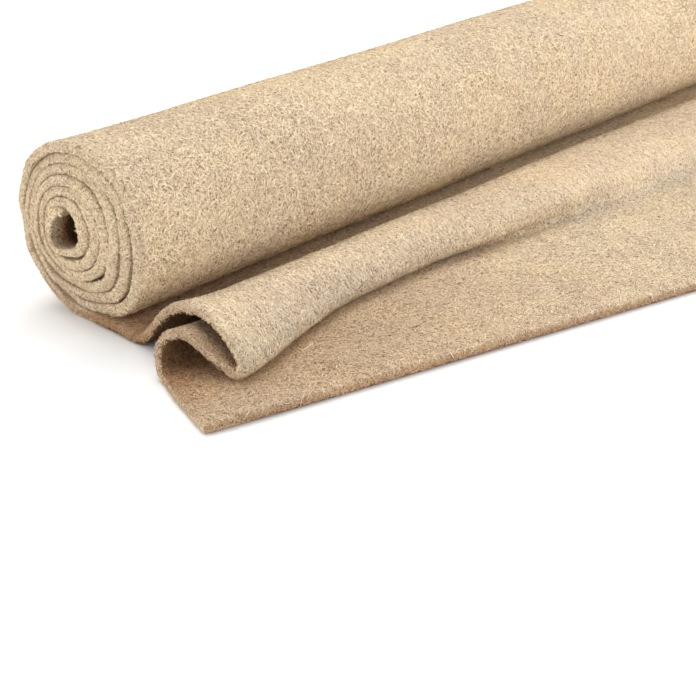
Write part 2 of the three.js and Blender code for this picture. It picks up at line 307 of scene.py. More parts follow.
def spiral(sizes, turn, along):
    """The face between two turns: a spiral whose radius grows by one pitch a turn,
    pushed out of round by SAG, with its middle moved towards the bore's."""
    lap = turn - sizes.turns
    last = np.isclose(turn, sizes.turns + 1)
    angle = np.where(last, 360.0, (lap - np.floor(lap)) * 360)
    wound = turn / (sizes.turns + 1)
    push = 1 + (column(SAG, "angle", "push", angle) - 1) * wound
    corners = np.cos(np.radians(angle - HOLE_CORNER_AT) * HOLE_CORNERS)
    push = push + HOLE_CORNER_PUSH * corners * np.exp(-turn / HOLE_CORNER_FADES)
    topward = np.maximum(np.cos(np.radians(angle - FLARE_AT)), 0)
    push = push + FLARE * wound * topward * np.exp(-along / FLARE_FADES)
    way = np.radians(angle)
    uneven = 1 + UNEVEN * wound * np.sin(along / UNEVEN_WAVE * 2 * np.pi + way)
    radius = (BORE_RADIUS + sizes.pitch * turn) * push * uneven
    out = radius * np.sin(way) + BORE_OUT * (1 - wound)
    high = AXIS_HIGH - radius * np.cos(way) + BORE_UP * (1 - wound)
    lies_on_end = (lap >= 0) & (lap < 1) & (angle < LIES_ON_END)
    lowest = np.where(lies_on_end, sizes.thick + CREVICE, 0.0)
    return out, np.maximum(high, lowest)


def wound_part(sizes, at):
    """The middle of the wound felt, its thickness and its slide along the roll, at each
    station and step: each turn's outer face lies on the spiral one turn further on, and
    its inner face as far inside that as the felt is thick or the pitch leaves room."""
    fine = EDGE_STATIONS[:FINE_STEPS] / (2 * np.pi * BORE_RADIUS)
    inner = np.arange(fine[-1], sizes.turns - OUTER_TURNS, 1 / INNER_STEPS)[1:]
    outer_steps = int(OUTER_TURNS * STEPS_PER_TURN)
    outer = np.linspace(sizes.turns - OUTER_TURNS, sizes.turns, outer_steps + 1)
    turn = np.concatenate([fine, inner, outer])[None, :]
    along = at[:, None]
    in_out, in_high = spiral(sizes, turn, along)
    out, high = spiral(sizes, turn + 1, along)
    room = np.hypot(in_out - out, in_high - high)
    to_out, to_high = (in_out - out) / room, (in_high - high) / room
    apart = np.zeros(turn.shape)
    for row in APART:
        apart += row["gap"] * np.exp(-(((turn + 1 - row["turn"]) / row["spread"]) ** 2))
    thick = np.minimum(sizes.thick * FULLER, room - CREVICE) - apart
    inset = apart + thick / 2
    slide_near = -CORE_PUSH * (1 - turn / sizes.turns)
    slide_near = slide_near + ROOT_SLIDE * soft(1 - (sizes.turns - turn) / ROOT_STRETCH)
    for row in STANDS_OUT:
        slide_near -= row["slide"] * np.exp(-(((turn - row["turn"]) / row["spread"]) ** 2))
    slide_far = -CORE_PUSH * (1 - turn / sizes.turns)
    slide = mix(slide_near, slide_far, soft(along / sizes.width))
    return out + to_out * inset, high + to_high * inset, thick, slide


def loose_part(sizes, at):
    """The middle of the loose end, its thickness and its slide: a flat stretch, a back
    and a front face as cubics, a turn under as an arc, a straight leg, a curl forward as
    an arc, and a flat front."""
    size = {key: column(FOLD, "at", key, at)[:, None] for key in FOLD_COLUMNS[1:]}
    half = sizes.thick / 2
    fall, turn = np.radians(size["fall"]), np.radians(size["turn"])
    bend, leg, curl = size["bend"], size["leg"], size["curl"]
    turn_drop = bend * (np.cos(fall) - np.cos(turn))
    leg_drop = leg * np.sin(turn)
    curl_drop = curl * (1 - np.cos(turn))
    tip_out, tip_high = size["tip"], half + turn_drop + leg_drop + curl_drop
    along = at[:, None]
    share = along / sizes.width
    front = FRONT_OUT + along * np.sin(np.radians(FRONT_SKEW))
    front = front - CORNER_WORN * np.exp(-along / CORNER_REACH)
    back_run, face_run = size["crest"] - size["foot"], tip_out - size["crest"]
    leg_out = tip_out + bend * (np.sin(turn) - np.sin(fall))
    leg_high = tip_high - turn_drop
    curl_out, curl_high = leg_out + leg * np.cos(turn), leg_high - leg_drop
    landed = curl_out + curl * np.sin(turn)

    def rise_path(t):
        high = hermite(half, size["high"], 0, 0, t)
        pull = (FOOT_PULL * back_run, BACK_PULL * back_run)
        return hermite(size["foot"], size["crest"], *pull, t), high

    def fall_path(t):
        steep = TIP_PULL * face_run
        out = hermite(size["crest"], tip_out, FRONT_PULL * face_run, steep * np.cos(fall), t)
        return out, hermite(size["high"], tip_high, 0, -steep * np.sin(fall), t)

    def turn_path(t):
        way = mix(fall, turn, t)
        out = tip_out + bend * (np.sin(way) - np.sin(fall))
        return out, tip_high - bend * (np.cos(fall) - np.cos(way))

    def curl_path(t):
        way = mix(turn, 0, t)
        out = curl_out + curl * (np.sin(turn) - np.sin(way))
        return out, curl_high - curl * (np.cos(way) - np.cos(turn))

    paths = {
        "flat": lambda t: (size["foot"] * t, half + 0 * t),
        "rise": rise_path,
        "fall": fall_path,
        "turn": turn_path,
        "leg": lambda t: (mix(leg_out, curl_out, t), mix(leg_high, curl_high, t)),
        "curl": curl_path,
        "front": lambda t: (mix(landed, front, t), half + 0 * t),
    }
    outs, highs, slides = [], [], []
    near, far = ROOT_SLIDE, 0.0
    for stretch in STRETCH:
        t = (np.arange(stretch["steps"]) + 1)[None, :] / stretch["steps"]
        if stretch["name"] == "front":
            fine = 1 - EDGE_STATIONS[FINE_STEPS - 1 :: -1] / FRONT_LENGTH
            t = np.concatenate([t[0, t[0] < fine[0] - FINE_APART], fine])[None, :]
        out, high = paths[stretch["name"]](t)
        slide_near, slide_far = mix(near, stretch["near"], t), mix(far, stretch["far"], t)
        outs.append(np.broadcast_to(out, (len(at), t.size)))
        highs.append(np.broadcast_to(high, (len(at), t.size)))
        slides.append(mix(slide_near, slide_far, share))
        near, far = stretch["near"], stretch["far"]
    out, high, slide = (np.concatenate(part, axis=1) for part in (outs, highs, slides))
    return out, high, np.full(out.shape, sizes.thick), slide


def stations(width):
    """Distances from the near end: close together at both ends and even between."""
    first, last = EDGE_STATIONS, width - EDGE_STATIONS[::-1]
    count = int(round((last[0] - first[-1]) / STATION_STEP))
    middle = np.linspace(first[-1], last[0], count + 1)[1:-1]
    return np.concatenate([first, middle, last])


def felt_surface(sizes):
    """The felt as arrays over stations and path steps: its middle, the unit way out of
    its outer face, half its thickness and its length from the inner end. With them come
    the slant of the cut ends at each path step, and how many steps are wound."""
    at = stations(sizes.width)
    wound, loose = wound_part(sizes, at), loose_part(sizes, at)
    out, high, thick, slide = (np.concatenate(pair, axis=1) for pair in zip(wound, loose))
    rng = np.random.default_rng(sizes.seed)
    run = np.hypot(np.diff(out, axis=1), np.diff(high, axis=1))
    length = np.concatenate([np.zeros((len(at), 1)), np.cumsum(run, axis=1)], axis=1)
    along = at[:, None] + slide
    turns = wound[0].shape[1]

    # The cut ends of the turns stand a little in and out of line.
    edge = np.exp(-np.minimum(at, sizes.width - at) / EDGE_WAVES_FADE)[:, None]
    wavy = np.where(np.arange(out.shape[1]) < turns, WOUND_WAVE, LOOSE_WAVE)
    along = along + edge * wavy * ripples(rng, length, 0 * along, *EDGE_WAVES)
    to_front = length[:, -1:] - length
    bow = BOW_OUT * np.exp(-(((to_front - BOW_AT) / BOW_SPREAD) ** 2))
    bow = bow - CORNER_SLIDE * np.exp(-to_front / CORNER_ROUND)
    along = along - bow * np.exp(-at / BOW_FADES)[:, None]
    middle = np.stack([along, -out, high], axis=-1)
    path = np.gradient(middle, axis=1)
    across = np.gradient(middle, at, axis=0)
    facing = np.cross(across, path)
    facing /= np.linalg.norm(facing, axis=-1, keepdims=True)

    # The felt is slightly lumpy where nothing presses on it. Where it lies on the surface
    # only its upper face is, so its thickness changes half as much and its middle moves.
    lumps = ripples(rng, length, along, *LUMP_WAVES)
    free = np.zeros(out.shape[1])
    free[turns - STEPS_PER_TURN : turns] = ROLL_LUMPS
    free[turns:] = 1
    lifted = np.clip((high - thick / 2) / LIES_FREE, 0, 1)
    lifted[:, :turns] = 1
    thick = thick + lumps * sizes.lumps * free * mix(0.5, 1, lifted)
    middle = middle - facing * (lumps * sizes.lumps * 0.5 * free * (1 - lifted))[..., None]

    # The cut edges are rounded.
    to_side = np.minimum(at, sizes.width - at)[:, None]
    to_end = np.minimum(length, to_front)
    inset = 1 - np.clip(np.minimum(to_side, to_end) / EDGE_REACH, 0, 1)
    half = thick / 2 * mix(EDGE_THIN, 1, np.sqrt(1 - inset**2))
    slant = np.zeros(out.shape[1])
    inner_steps = turns - STEPS_PER_TURN
    slant[:inner_steps] = CORE_PUSH / sizes.turns / 2
    slant[inner_steps:turns] = np.linspace(slant[0], 0, STEPS_PER_TURN)
    return middle, facing, half, slant, length, turns


def edge_loop(rows, columns):
    """The numbers of a grid's border points, in order round it."""
    number = np.arange(rows * columns).reshape(rows, columns)
    sides = (number[0, :-1], number[:-1, -1], number[-1, :0:-1], number[:0:-1, 0])
    return np.concatenate(sides)


def inner_of(rows, columns):
    """For each border point, in the same order, the point one step in from the edge."""
    number = np.arange(rows * columns).reshape(rows, columns)
    row = np.clip(np.arange(rows), 1, rows - 2)
    column_in = np.clip(np.arange(columns), 1, columns - 2)
    return number[np.ix_(row, column_in)].ravel()[edge_loop(rows, columns)]


def nap_and_shade_of(width, turns, columns):
    """The nap and painted shade of the felt's upper face, its lower face and its cut edge, at
    each station and path step: the roll's values on the wound part, and on the loose end the
    values of STRETCH, straight between the ends of its stretches, with a soft step along
    the roll from near to far. Low values are painted shade, high ones brushed felt."""
    steps = np.cumsum([1] + [stretch["steps"] for stretch in STRETCH])
    steps[-1] = columns - turns
    at = np.concatenate([[0, turns], turns + steps])
    naps_and_shades = [STRETCH[0]["nap"]] + [stretch["nap"] for stretch in STRETCH]
    near, far, under, edge = (
        np.interp(np.arange(columns), at, [roll] * 2 + [nap[face] for nap in naps_and_shades])
        for face, roll in enumerate((ROLL_NAP, ROLL_NAP, ROLL_NAP, END_NAP))
    )
    edge[-1] = FRONT_EDGE_NAP
    foot_edge = edge[turns + 1]
    edge[turns - EDGE_STEPS : turns + 1] = np.linspace(END_NAP, foot_edge, EDGE_STEPS + 1)
    foot = turns - STEPS_PER_TURN - EXTRA_STEPS
    up = soft((np.arange(foot, turns) - foot) / FOOT_STEPS)
    # Painted shade: the roll's front is painted darker at its foot.
    under[foot:turns] = mix(FOOT_PAINTED_SHADE, ROLL_NAP, up)
    share = soft(stations(width) / NAP_AND_SHADE_REACH)[:, None]
    all_rows = (len(share), 1)
    return mix(near, far, share), np.tile(under, all_rows), np.tile(edge, all_rows)


def closed_sheet(middle, facing, half, slant):
    """Points and four-sided faces of the felt: its two faces, half a thickness off its
    middle, and round the edge two strips that meet at a slight bulge. slant is how far
    the outer face is slid along the roll at each path step, and the inner face against
    it, so that the turns' cut edges make one blunt cone."""
    rows, columns = half.shape
    outer = middle + facing * half[..., None]
    inner = middle - facing * half[..., None]
    outer[..., 0] += slant
    inner[..., 0] -= slant
    outer[..., 2] = np.maximum(outer[..., 2], 0)
    inner[..., 2] = np.maximum(inner[..., 2], 0)
    flat = middle.reshape(-1, 3)
    loop = edge_loop(rows, columns)
    away = flat[loop] - flat[inner_of(rows, columns)]
    away /= np.linalg.norm(away, axis=1, keepdims=True)
    rim = flat[loop] + away * EDGE_BULGE
    points = np.concatenate([outer.reshape(-1, 3), inner.reshape(-1, 3), rim])
    number = np.arange(rows * columns).reshape(rows, columns)
    quads = np.stack(
        [number[:-1, :-1], number[1:, :-1], number[1:, 1:], number[:-1, 1:]], axis=-1
    ).reshape(-1, 4)
    step = rows * columns
    rim_number = 2 * step + np.arange(len(loop))
    after, rim_after = np.roll(loop, -1), np.roll(rim_number, -1)
    outer_strip = np.stack([loop, after, rim_after, rim_number], axis=1)
    inner_strip = np.stack([rim_number, rim_after, after + step, loop + step], axis=1)
    faces = np.concatenate([quads, quads[:, ::-1] + step, outer_strip, inner_strip])
    return points, faces, outer, inner


def volume(points, faces):
    """Six times the volume that four-sided faces enclose, negative if they face in."""
    a, b, c, d = (points[faces[:, corner]] for corner in range(4))
    return (np.cross(b, c) * a).sum() + (np.cross(c, d) * a).sum()


def to_frame(points, sizes):
    """Points of the roll's own frame in the shared frame."""
    lowest, highest = CAD_BOX
    corner = np.array([highest[0] - sizes.width, highest[1] - BACK_REACH, lowest[2]])
    return points + corner


def new_mesh(name, points, faces, smooth=True):
    """An object at the origin with these points and faces, all with as many corners."""
    mesh = bpy.data.meshes.new(name)
    corners = faces.shape[1]
    mesh.vertices.add(len(points))
    mesh.vertices.foreach_set("co", np.ascontiguousarray(points, np.float32).ravel())
    mesh.loops.add(faces.size)
    mesh.loops.foreach_set("vertex_index", np.ascontiguousarray(faces, np.int32).ravel())
    mesh.polygons.add(len(faces))
    mesh.polygons.foreach_set("loop_start", np.arange(0, faces.size, corners, dtype=np.int32))
    mesh.polygons.foreach_set("use_smooth", np.full(len(faces), smooth))
    mesh.update(calc_edges=True)
    if mesh.validate():
        raise RuntimeError(f"{name} has a bad face")
    piece = bpy.data.objects.new(name, mesh)
    bpy.context.scene.collection.objects.link(piece)
    return piece


def grid_cells(points):
    """Each cell of a grid of points: its lowest corner, two sides, fourth corner's rest,
    area and the way that it faces."""
    corner = points[:-1, :-1]
    side_a = points[1:, :-1] - corner
    side_b = points[:-1, 1:] - corner
    twist = points[1:, 1:] - corner - side_a - side_b
    cross = np.cross(side_a + twist / 2, side_b + twist / 2)
    area = np.linalg.norm(cross, axis=-1)
    facing = cross / np.maximum(area, 1e-12)[..., None]
    flat = [part.reshape(-1, 3) for part in (corner, side_a, side_b, twist, facing)]
    return flat, area.ravel()


def scatter(rng, points, weight, nap, count, outwards):
    """Random points on a grid, as many on equal areas of equal weight, with the way the
    surface faces there, the way of the felt's length and the nap and painted shade value,
    which has a value for each cell, or one for all."""
    (corner, side_a, side_b, twist, facing), area = grid_cells(points)
    chance = area * weight.ravel()
    cell = rng.choice(len(chance), count, p=chance / chance.sum())
    a, b = rng.uniform(size=(2, count, 1))
    place = corner[cell] + side_a[cell] * a + side_b[cell] * b + twist[cell] * a * b
    along = side_b[cell]
    along = along / np.maximum(np.linalg.norm(along, axis=1, keepdims=True), 1e-12)
    nap = np.broadcast_to(nap, weight.shape).ravel()[cell]
    return place, facing[cell] * outwards, along, nap


# The fibres' tones, with 0.5 for the felt's own: the middle and the spread of the plain
# ones, and from where to where the light strands and the dark flecks reach. In fully
# brushed felt they stand this share nearer to 0.5.
PLAIN_TONE, PLAIN_SPREAD = 0.45, 0.12
LIGHT_TONES, DARK_TONES = (0.74, 1.0), (0.0, 0.25)
BRUSHED_CALM = 0.6

# Fibres darker than the first tone are flecks and those lighter than the second are
# strands, which are bent. Beside plain ones they are this long and this wide.
FLECK_BELOW, BENT_ABOVE = 0.35, 0.7
FLECK_LENGTH, STRAND_LENGTH = 0.6, 1.3
FLECK_WIDTH, STRAND_WIDTH = 0.7, 0.85

# How much fibres vary: the spread of their length, how long the longest is, the least and
# the most of their width, their lift and how far a raised tip stands out, and the spread
# of a strand's bend, all as shares.
LENGTH_SPREAD, LONGEST = 0.4, 2.2
WIDTH_RANGE, LIFT_RANGE, RISE_RANGE = (0.7, 1.3), (0.3, 1.7), (0.3, 1.0)
BEND_SPREAD = 0.13

# In fully brushed felt this share of the fibres is combed, within about this angle in
# radians of the felt's length.
COMBED, COMBED_SPREAD = 0.85, 0.4

# A raised fibre is at most this many times as long as its tip may stand out, and this
# share as wide. Its middle rises by this share of its tip's rise.
RAISED_LENGTH, RAISED_WIDTH, MIDDLE_RISE = 3, 0.6, 0.35

# Each fibre's ends lie this deep in the felt.
FIBRE_SINKS = 0.00008

# A short fibre's tail, tip and two flanks make four faces. A bent one has a third point
# in the middle, under the flanks, and six faces.
FIBRE_FACES = np.array([(0, 1, 2), (0, 2, 3), (0, 3, 1), (1, 3, 2)])
BENT_FACES = np.array([(0, 2, 3), (0, 3, 4), (0, 4, 2), (1, 3, 2), (1, 4, 3), (1, 2, 4)])


def fibre_points(place, facing, way, length, width, lift, bend, tip_rise):
    """Five points for each fibre: its tail and tip, a little sunk in the felt, or the tip
    raised over it, two flanks half way along it, lifted and bent to one side, and a point
    under the flanks."""
    side = np.cross(facing, way)
    reach = way * length / 2
    tail = place - reach - facing * FIBRE_SINKS
    tip = place + reach + facing * (tip_rise - FIBRE_SINKS)
    waist = place + facing * (lift + tip_rise * MIDDLE_RISE) + side * bend
    left, right = waist + side * width / 2, waist - side * width / 2
    return np.stack([tail, tip, left, right, waist - facing * width / 2], axis=1)


def set_value(piece, name, values):
    """A number for each point of a piece, for its material to read."""
    attribute = piece.data.attributes.new(name, "FLOAT", "POINT")
    attribute.data.foreach_set("value", np.ascontiguousarray(values, np.float32))


def fibre_object(name, groups, material):
    """One mesh of many closed fibres. Each group has the points of its fibres, the faces
    of one fibre, and a tone and a nap and painted shade value for each fibre."""
    count, all_points, all_faces, tones, naps_and_shades = 0, [], [], [], []
    for points, each, tone, nap in groups:
        fibres, corners = points.shape[:2]
        first = count + corners * np.arange(fibres)[:, None, None]
        all_points.append(points.reshape(-1, 3))
        all_faces.append((each[None] + first).reshape(-1, 3))
        tones.append(np.repeat(tone, corners))
        naps_and_shades.append(np.repeat(nap, corners))
        count += fibres * corners
    points = np.concatenate(all_points)
    points[:, 2] = np.maximum(points[:, 2], CAD_BOX[0][2] + CREVICE)
    piece = new_mesh(name, points, np.concatenate(all_faces), smooth=False)
    set_value(piece, "tone", np.concatenate(tones))
    set_value(piece, "nap", np.concatenate(naps_and_shades))
    piece.data.materials.append(material)
    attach(piece, "root")
    return piece


def fibre_tones(rng, count, look):
    """A tone for each fibre: light strands and dark flecks by their shares, and plain
    ones spread about their middle tone."""
    tone = rng.normal(PLAIN_TONE, PLAIN_SPREAD, count)
    kind = rng.uniform(size=count)
    tone = np.where(kind < look.light_share, rng.uniform(*LIGHT_TONES, count), tone)
    tone = np.where(kind > 1 - look.dark_share, rng.uniform(*DARK_TONES, count), tone)
    return np.clip(tone, 0, 1)


def matted(rng, place, facing, along, nap, tone, look, shorter=1.0, raise_share=0.04):
    """Fibres that lie on the felt, some with one raised tip: in all directions where it
    is rough, and combed along the felt's length where it is brushed. Light strands are
    long and bent, and dark flecks are short."""
    one_each = (len(place), 1)
    side = np.cross(facing, along)
    nap, tone = nap[:, None], tone[:, None]
    fleck, strand = tone < FLECK_BELOW, tone > BENT_ABOVE
    angle = rng.uniform(0, 2 * np.pi, one_each)
    combed = rng.uniform(size=one_each) < np.clip(2 * nap - 1, 0, 1) * COMBED
    angle = np.where(combed, rng.normal(0, COMBED_SPREAD, one_each), angle)
    way = along * np.cos(angle) + side * np.sin(angle)
    length = shorter * look.fibre_length * np.exp(rng.normal(0, LENGTH_SPREAD, one_each))
    length = length * np.where(fleck, FLECK_LENGTH, np.where(strand, STRAND_LENGTH, 1))
    length = np.minimum(length, LONGEST * look.fibre_length)
    thin = np.where(fleck, FLECK_WIDTH, np.where(strand, STRAND_WIDTH, 1))
    width = look.fibre_width * rng.uniform(*WIDTH_RANGE, one_each) * thin
    lift = look.fibre_lift * rng.uniform(*LIFT_RANGE, one_each)
    bend = np.where(strand, rng.normal(0, BEND_SPREAD, one_each) * length, 0)
    raised = rng.uniform(size=one_each) < raise_share
    rise = look.fuzz_height * rng.uniform(*RISE_RANGE, one_each)
    tip_rise = np.where(raised, rise, 0) + combed * look.fibre_lift
    short = np.minimum(length, RAISED_LENGTH * look.fuzz_height)
    length = np.where(raised, short, length)
    width = np.where(raised, RAISED_WIDTH * width, width)
    return fibre_points(place, facing, way, length, width, lift, bend, tip_rise)


# A long hair is a tube of this many rings, each with three corners.
HAIR_RINGS = 6


def hair_faces():
    """The faces of one long hair, as numbers of its points, which are its rings' corners,
    then its tail and its tip: between two rings each side is two triangles, and each end
    is a cone."""
    here, after = np.arange(3), np.array([1, 2, 0])
    side = np.stack([(here, after, here + 3), (after, after + 3, here + 3)])
    first = 3 * np.arange(HAIR_RINGS - 1)[:, None, None, None]
    tube = np.moveaxis(side + first, 2, -1).reshape(-1, 3)
    tail = 3 * HAIR_RINGS
    last = tail - 3
    tail_cone = np.stack([np.full(3, tail), after, here], axis=1)
    tip_cone = np.stack([np.full(3, tail + 1), last + here, last + after], axis=1)
    return np.concatenate([tube, tail_cone, tip_cone])


# The single hairs that stand out, in the roll's own frame: a dark tube as painted shade
# of a slit in the skin, with a pale hair beside it, fine dark hairs high on the roll, and
# pale ones low on it and along the fold. middle is where a hair's middle lies, and way the
# direction that it runs in.
HAIR_COLUMNS = ("middle", "way", "length", "width", "bend", "lift", "tone")
HAIR_ROWS = [
    # Painted shade: a dark tube where a slit in the skin lies in shade.
    ((0.245, -0.0265, 0.010), (-5, -12, 10), 0.0165, 0.0007, 0.12, 0.0002, 0.0),
    ((0.254, -0.0240, 0.009), (10, -10, 10), 0.0175, 0.00024, -0.08, 0.0006, 0.95),
    ((0.283, -0.0270, 0.064), (3, -2, -2), 0.0060, 0.0003, 0.1, 0.0002, 0.05),
    ((0.297, -0.0250, 0.066), (5, 1, 1), 0.0070, 0.0003, -0.1, 0.0002, 0.05),
    ((0.308, -0.0260, 0.065), (4, -2, -1), 0.0050, 0.0003, 0.1, 0.0002, 0.05),
    ((0.298, -0.0300, 0.061), (1, -2, -3), 0.0060, 0.0003, 0.1, 0.0002, 0.05),
    ((0.177, -0.0340, 0.021), (5, -1, 2), 0.0080, 0.0002, 0.1, 0.0004, 0.95),
    ((0.001, -0.0880, 0.012), (2, -3, -2), 0.0070, 0.0002, 0.1, 0.0004, 0.95),
    ((0.077, -0.0940, 0.014), (4, -3, -1), 0.0080, 0.0002, 0.1, 0.0004, 0.9),
    ((0.029, -0.0990, 0.006), (9, 2, -1), 0.0092, 0.00022, 0.1, 0.0005, 0.95),
]
SINGLE_HAIRS = [dict(zip(HAIR_COLUMNS, row)) for row in HAIR_ROWS]

# The long hairs laid at random: the spread of their length and of their bend, as shares,
# and the least and the most of their width, their lift and their tone. This many rows of
# cells at the near end have them twice as close.
HAIR_LENGTHS, HAIR_BENDS = 0.3, 0.12
HAIR_WIDTHS, HAIR_LIFTS, HAIR_TONES = (0.00012, 0.00018), (0.0002, 0.0006), (0.7, 0.95)
HAIRY_ROWS = 6


def hair_points(place, facing, way, length, width, bend, lift):
    """Long hairs as thin three-sided tubes with pointed ends. The middle line is a
    parabola that bends to one side over the felt and stands off it most half way."""
    side = np.cross(facing, way)
    t = np.linspace(0, 1, HAIR_RINGS + 2)[None, :, None] - 0.5
    line = place[:, None] + way[:, None] * length[:, None, None] * t
    line = line + side[:, None] * (bend * length)[:, None, None] * 4 * t**2
    line = line + facing[:, None] * lift[:, None, None] * (1 - 4 * t**2)
    around = np.radians([90, 210, 330])
    ring = side[:, None] * np.cos(around)[None, :, None]
    ring = ring + facing[:, None] * np.sin(around)[None, :, None]
    rings = line[:, 1:-1, None] + ring[:, None] * width[:, None, None, None] / 2
    rings = rings.reshape(len(place), -1, 3)
    return np.concatenate([rings, line[:, :1], line[:, -1:]], axis=1)


class FeltSizes(PropertyGroup):
    """Sizes of the felt and of its roll."""

    width: FloatProperty(
        name="Width", description="Width of the felt, the roll's length",
        default=0.5, min=0.2, unit="LENGTH",
    )
    thick: FloatProperty(
        name="Thickness", description="Thickness of the felt",
        default=0.0043, min=0.002, precision=4, unit="LENGTH",
    )
    pitch: FloatProperty(
        name="Pitch", description="From one turn of the roll to the next",
        default=0.0046, min=0.002, precision=4, unit="LENGTH",
    )
    turns: FloatProperty(
        name="Turns", description="Turns of felt in the roll", default=6.5, min=2,
    )
    lumps: FloatProperty(
        name="Lumps", description="How far the felt's faces rise and fall",
        default=0.00016, min=0, precision=5, unit="LENGTH",
    )
    seed: IntProperty(name="Seed", description="Sets all random shapes", default=5, min=0)


class FeltLook(PropertyGroup):
    """Fibres and colours of the felt."""

    fibre_length: FloatProperty(
        name="Fibre length", description="Middle length of a matted fibre",
        default=0.0028, min=0.001, precision=4, unit="LENGTH",
    )
    fibre_width: FloatProperty(
        name="Fibre width", description="Width of a matted fibre",
        default=0.00044, min=0.0001, precision=5, unit="LENGTH",
    )
    fibre_lift: FloatProperty(
        name="Fibre lift", description="How far a fibre's middle stands over the felt",
        default=0.00018, min=0, precision=5, unit="LENGTH",
    )
    fuzz_height: FloatProperty(
        name="Fuzz height", description="How far the tips of raised fibres stand out",
        default=0.0008, min=0, precision=4, unit="LENGTH",
    )
    light_share: FloatProperty(
        name="Light strands", description="Share of the fibres that are light",
        default=0.46, min=0, max=1, subtype="FACTOR",
    )
    dark_share: FloatProperty(
        name="Dark flecks", description="Share of the fibres that are dark",
        default=0.045, min=0, max=1, subtype="FACTOR",
    )
    roll_fibres: IntProperty(
        name="Fibres on the roll", description="Matted fibres on the roll's outer face",
        default=73000, min=0,
    )
    loose_fibres: IntProperty(
        name="Fibres on the loose end", description="Matted fibres on its upper face",
        default=65000, min=0,
    )
    foot_fibres: IntProperty(
        name="Fibres at the foot", description="Raised fibres low on the roll's front",
        default=4000, min=0,
    )
    under_fibres: IntProperty(
        name="Fibres underneath", description="Fibres under the fold and the ridge",
        default=7000, min=0,
    )
    edge_fibres: IntProperty(
        name="Fibres on the edges", description="Fibres on the felt's cut edges",
        default=18000, min=0,
    )
    hairs: IntProperty(
        name="Long hairs", description="Longer hairs that stand off the felt",
        default=320, min=0,
    )
    hair_length: FloatProperty(
        name="Hair length", description="Middle length of a long hair",
        default=0.007, min=0.002, precision=4, unit="LENGTH",
    )
    wool: FloatVectorProperty(
        name="Wool", description="Colour of the felt", subtype="COLOR",
        default=(0.80, 0.63, 0.435), min=0, max=1,
    )
    light_wool: FloatVectorProperty(
        name="Light strands", description="Colour of the lightest fibres", subtype="COLOR",
        default=(1.0, 0.88, 0.64), min=0, max=1,
    )
    dark_wool: FloatVectorProperty(
        name="Dark flecks", description="Colour of the darkest fibres", subtype="COLOR",
        default=(0.19, 0.10, 0.045), min=0, max=1,
    )


class FeltStudio(PropertyGroup):
    """The floor and the lights."""

    floor_colour: FloatVectorProperty(
        name="Floor", description="Colour of the plain floor", subtype="COLOR",
        default=(0.93, 0.93, 0.93), min=0, max=1,
    )
    sky: FloatProperty(
        name="Sky", description="Strength of the even light from all round",
        default=0.56, min=0,
    )
    overhead: FloatProperty(
        name="Overhead light", description="Power of the large lamp above and behind",
        default=17.0, min=0, unit="POWER",
    )
    front: FloatProperty(
        name="Front light", description="Power of the low lamp in front, at the far end",
        default=12.0, min=0, unit="POWER",
    )
    near: FloatProperty(
        name="Near light", description="Power of the low lamp in front, at the near end",
        default=2.5, min=0, unit="POWER",
    )
    back: FloatProperty(
        name="Back light", description="Power of the low lamp behind, at the near end",
        default=8.0, min=0, unit="POWER",
    )


def group_socket(group, name, way, kind, default=None):
    """A named input or output of a node group."""
    socket = group.interface.new_socket(name, in_out=way, socket_type=kind)
    if default is not None:
        socket.default_value = default
    return socket


# The pattern on the felt's own faces. Lines are fine noise, stretched this much and
# distorted a little, where it passes its middle value. Each row turns the noise and
# shifts it, so that its lines run their own way. The lines of the rows before it are
# dimmed to this share.
LINE_SIZE, LINE_WIDTH = 850.0, 0.085
LINE_STRETCH, LINE_DISTORTION, LINE_DIMS = 4.0, 0.6, 0.92
LINE_WAYS = [
    ((0.0, 0.5, 0.3), (0.0, 0.0, 0.0)),
    ((0.9, 0.2, 1.1), (0.3, 0.1, 0.2)),
    ((0.4, -0.7, 2.1), (0.7, 0.5, 0.1)),
    ((-0.8, 0.6, 2.9), (0.2, 0.9, 0.4)),
    ((1.3, 1.0, 0.6), (0.5, 0.4, 0.8)),
]

# Specks, clouds and patches are noise too, each with a scale and a detail.
SPECKS, CLOUDS, PATCHES = (1500.0, 2.0), (38.0, 3.0), (32.0, 3.0)

# The tone between the lines, and what the lines, the specks and the clouds add to it, and
# what the lines and the specks add to the height.
BASE_TONE, LINE_TONE, SPECK_TONE, CLOUD_TONE = 0.02, 0.66, 1.2, 0.25
LINE_HIGH, SPECK_HIGH = 0.6, 0.5


